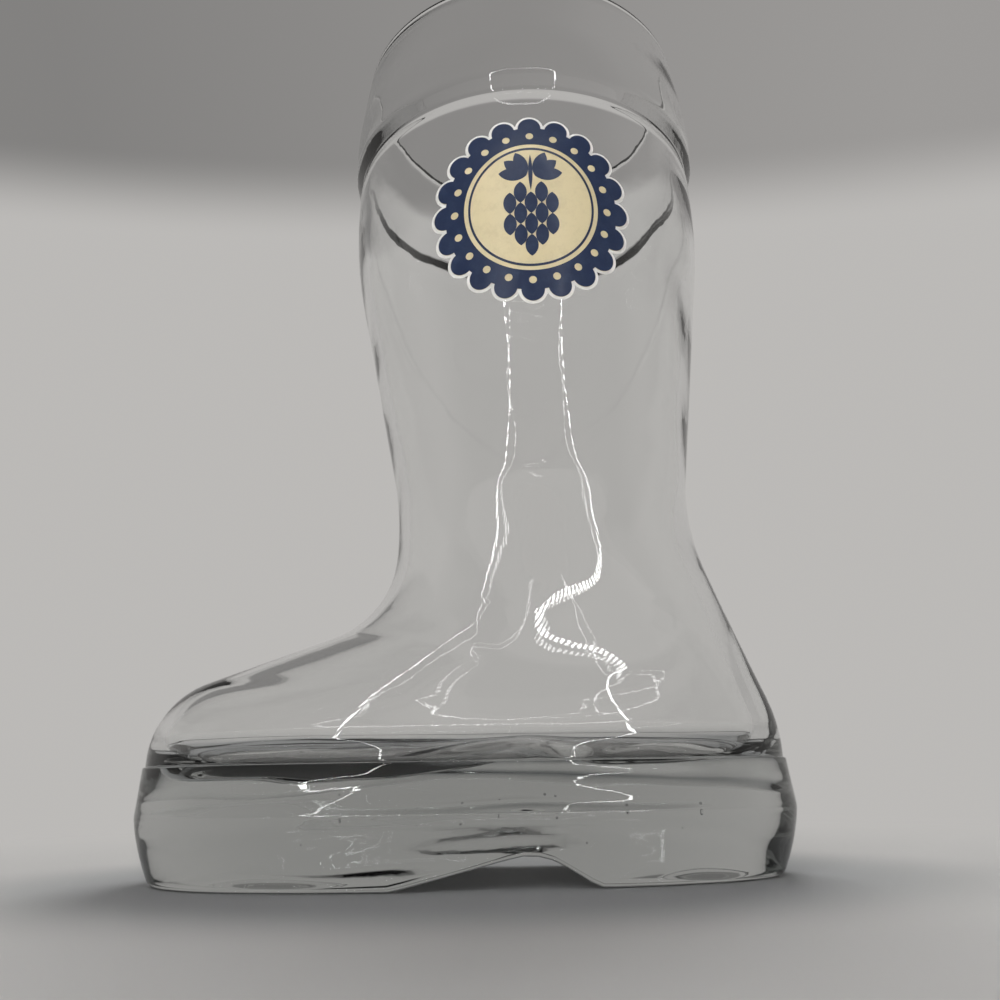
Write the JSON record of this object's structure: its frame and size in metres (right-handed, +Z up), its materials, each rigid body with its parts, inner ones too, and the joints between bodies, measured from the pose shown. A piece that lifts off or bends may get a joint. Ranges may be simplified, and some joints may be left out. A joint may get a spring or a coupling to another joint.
{
  "type": "boot-shaped beer glass",
  "caption": "Clear glass beer boot with a rounded toe, arched solid sole and heel, a round shaft with a creased collar at the mouth, and a round hop badge fired on the side",
  "frame": {"origin": "middle of the glass's footprint, on the table under its sole", "axes": "+Z up through the mouth, +X towards the heel with the toe at -X, the print faces -Y"},
  "size_m": [0.136, 0.086, 0.193],
  "materials": {
    "clear_glass": "clear pressed-and-blown soda-lime glass, glossy, with a faint grey-green cast in thick places",
    "white_ink": "opaque white screen-printed enamel, fired on, low gloss",
    "cream_ink": "opaque cream screen-printed enamel, fired on, low gloss",
    "navy_ink": "opaque navy screen-printed enamel, fired on, low gloss"
  },
  "bodies": {
    "root": {"glass_boot": "clear_glass", "print_white_base": "white_ink", "print_cream_field": "cream_ink", "print_navy_border": "navy_ink", "print_navy_keyline": "navy_ink", "print_navy_hop_cone": "navy_ink", "print_navy_hop_leaves": "navy_ink", "print_navy_stem": "navy_ink"}
  },
  "joints": []
}
